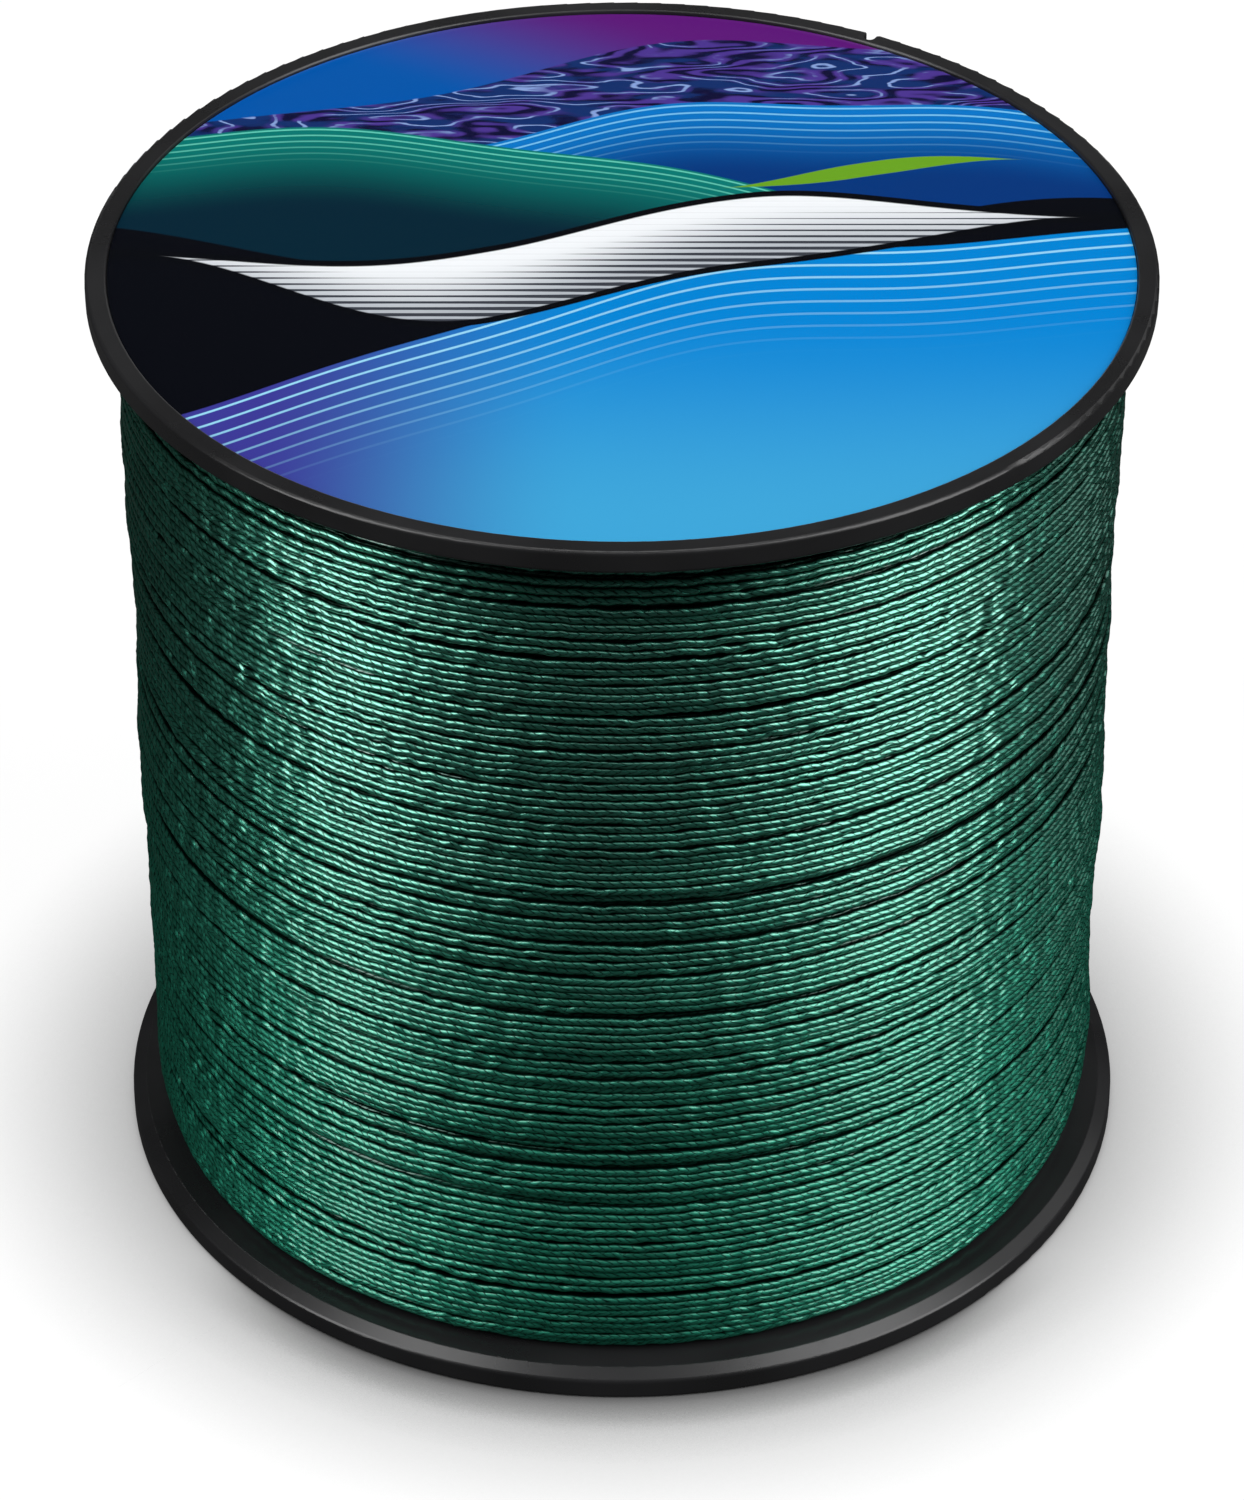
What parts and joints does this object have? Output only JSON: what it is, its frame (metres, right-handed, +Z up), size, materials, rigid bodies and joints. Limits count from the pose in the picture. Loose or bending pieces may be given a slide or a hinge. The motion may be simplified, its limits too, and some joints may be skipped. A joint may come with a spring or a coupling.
{
  "type": "fishing line spool",
  "caption": "Free-standing spool of braided fishing line: flanged moulded drum full of line, a round face label, and a spindle bore open below.",
  "frame": {"origin": "centre of the base, on the surface that the lower rim stands on", "axes": "+Z up along the spool's axis, from the lower flange to the labelled upper flange; +Y away from the viewer, with the line notches behind on the right, 60 degrees from +X"},
  "size_m": [0.106, 0.106, 0.103],
  "materials": {
    "label_film": "printed film, glossy",
    "flange_plastic": "satin black moulded",
    "drum_plastic": "matt black moulded",
    "adhesive_tape": "matt tape",
    "braided_line": "tight satin braid"
  },
  "bodies": {
    "root": {"upper_label": "label_film", "upper_flange": "flange_plastic", "lower_flange": "flange_plastic", "barrel": "drum_plastic", "arbor_tube": "drum_plastic", "anchor_tape": "adhesive_tape", "line_inner_layers": "braided_line", "line_outer_layer": "braided_line"}
  },
  "joints": []
}
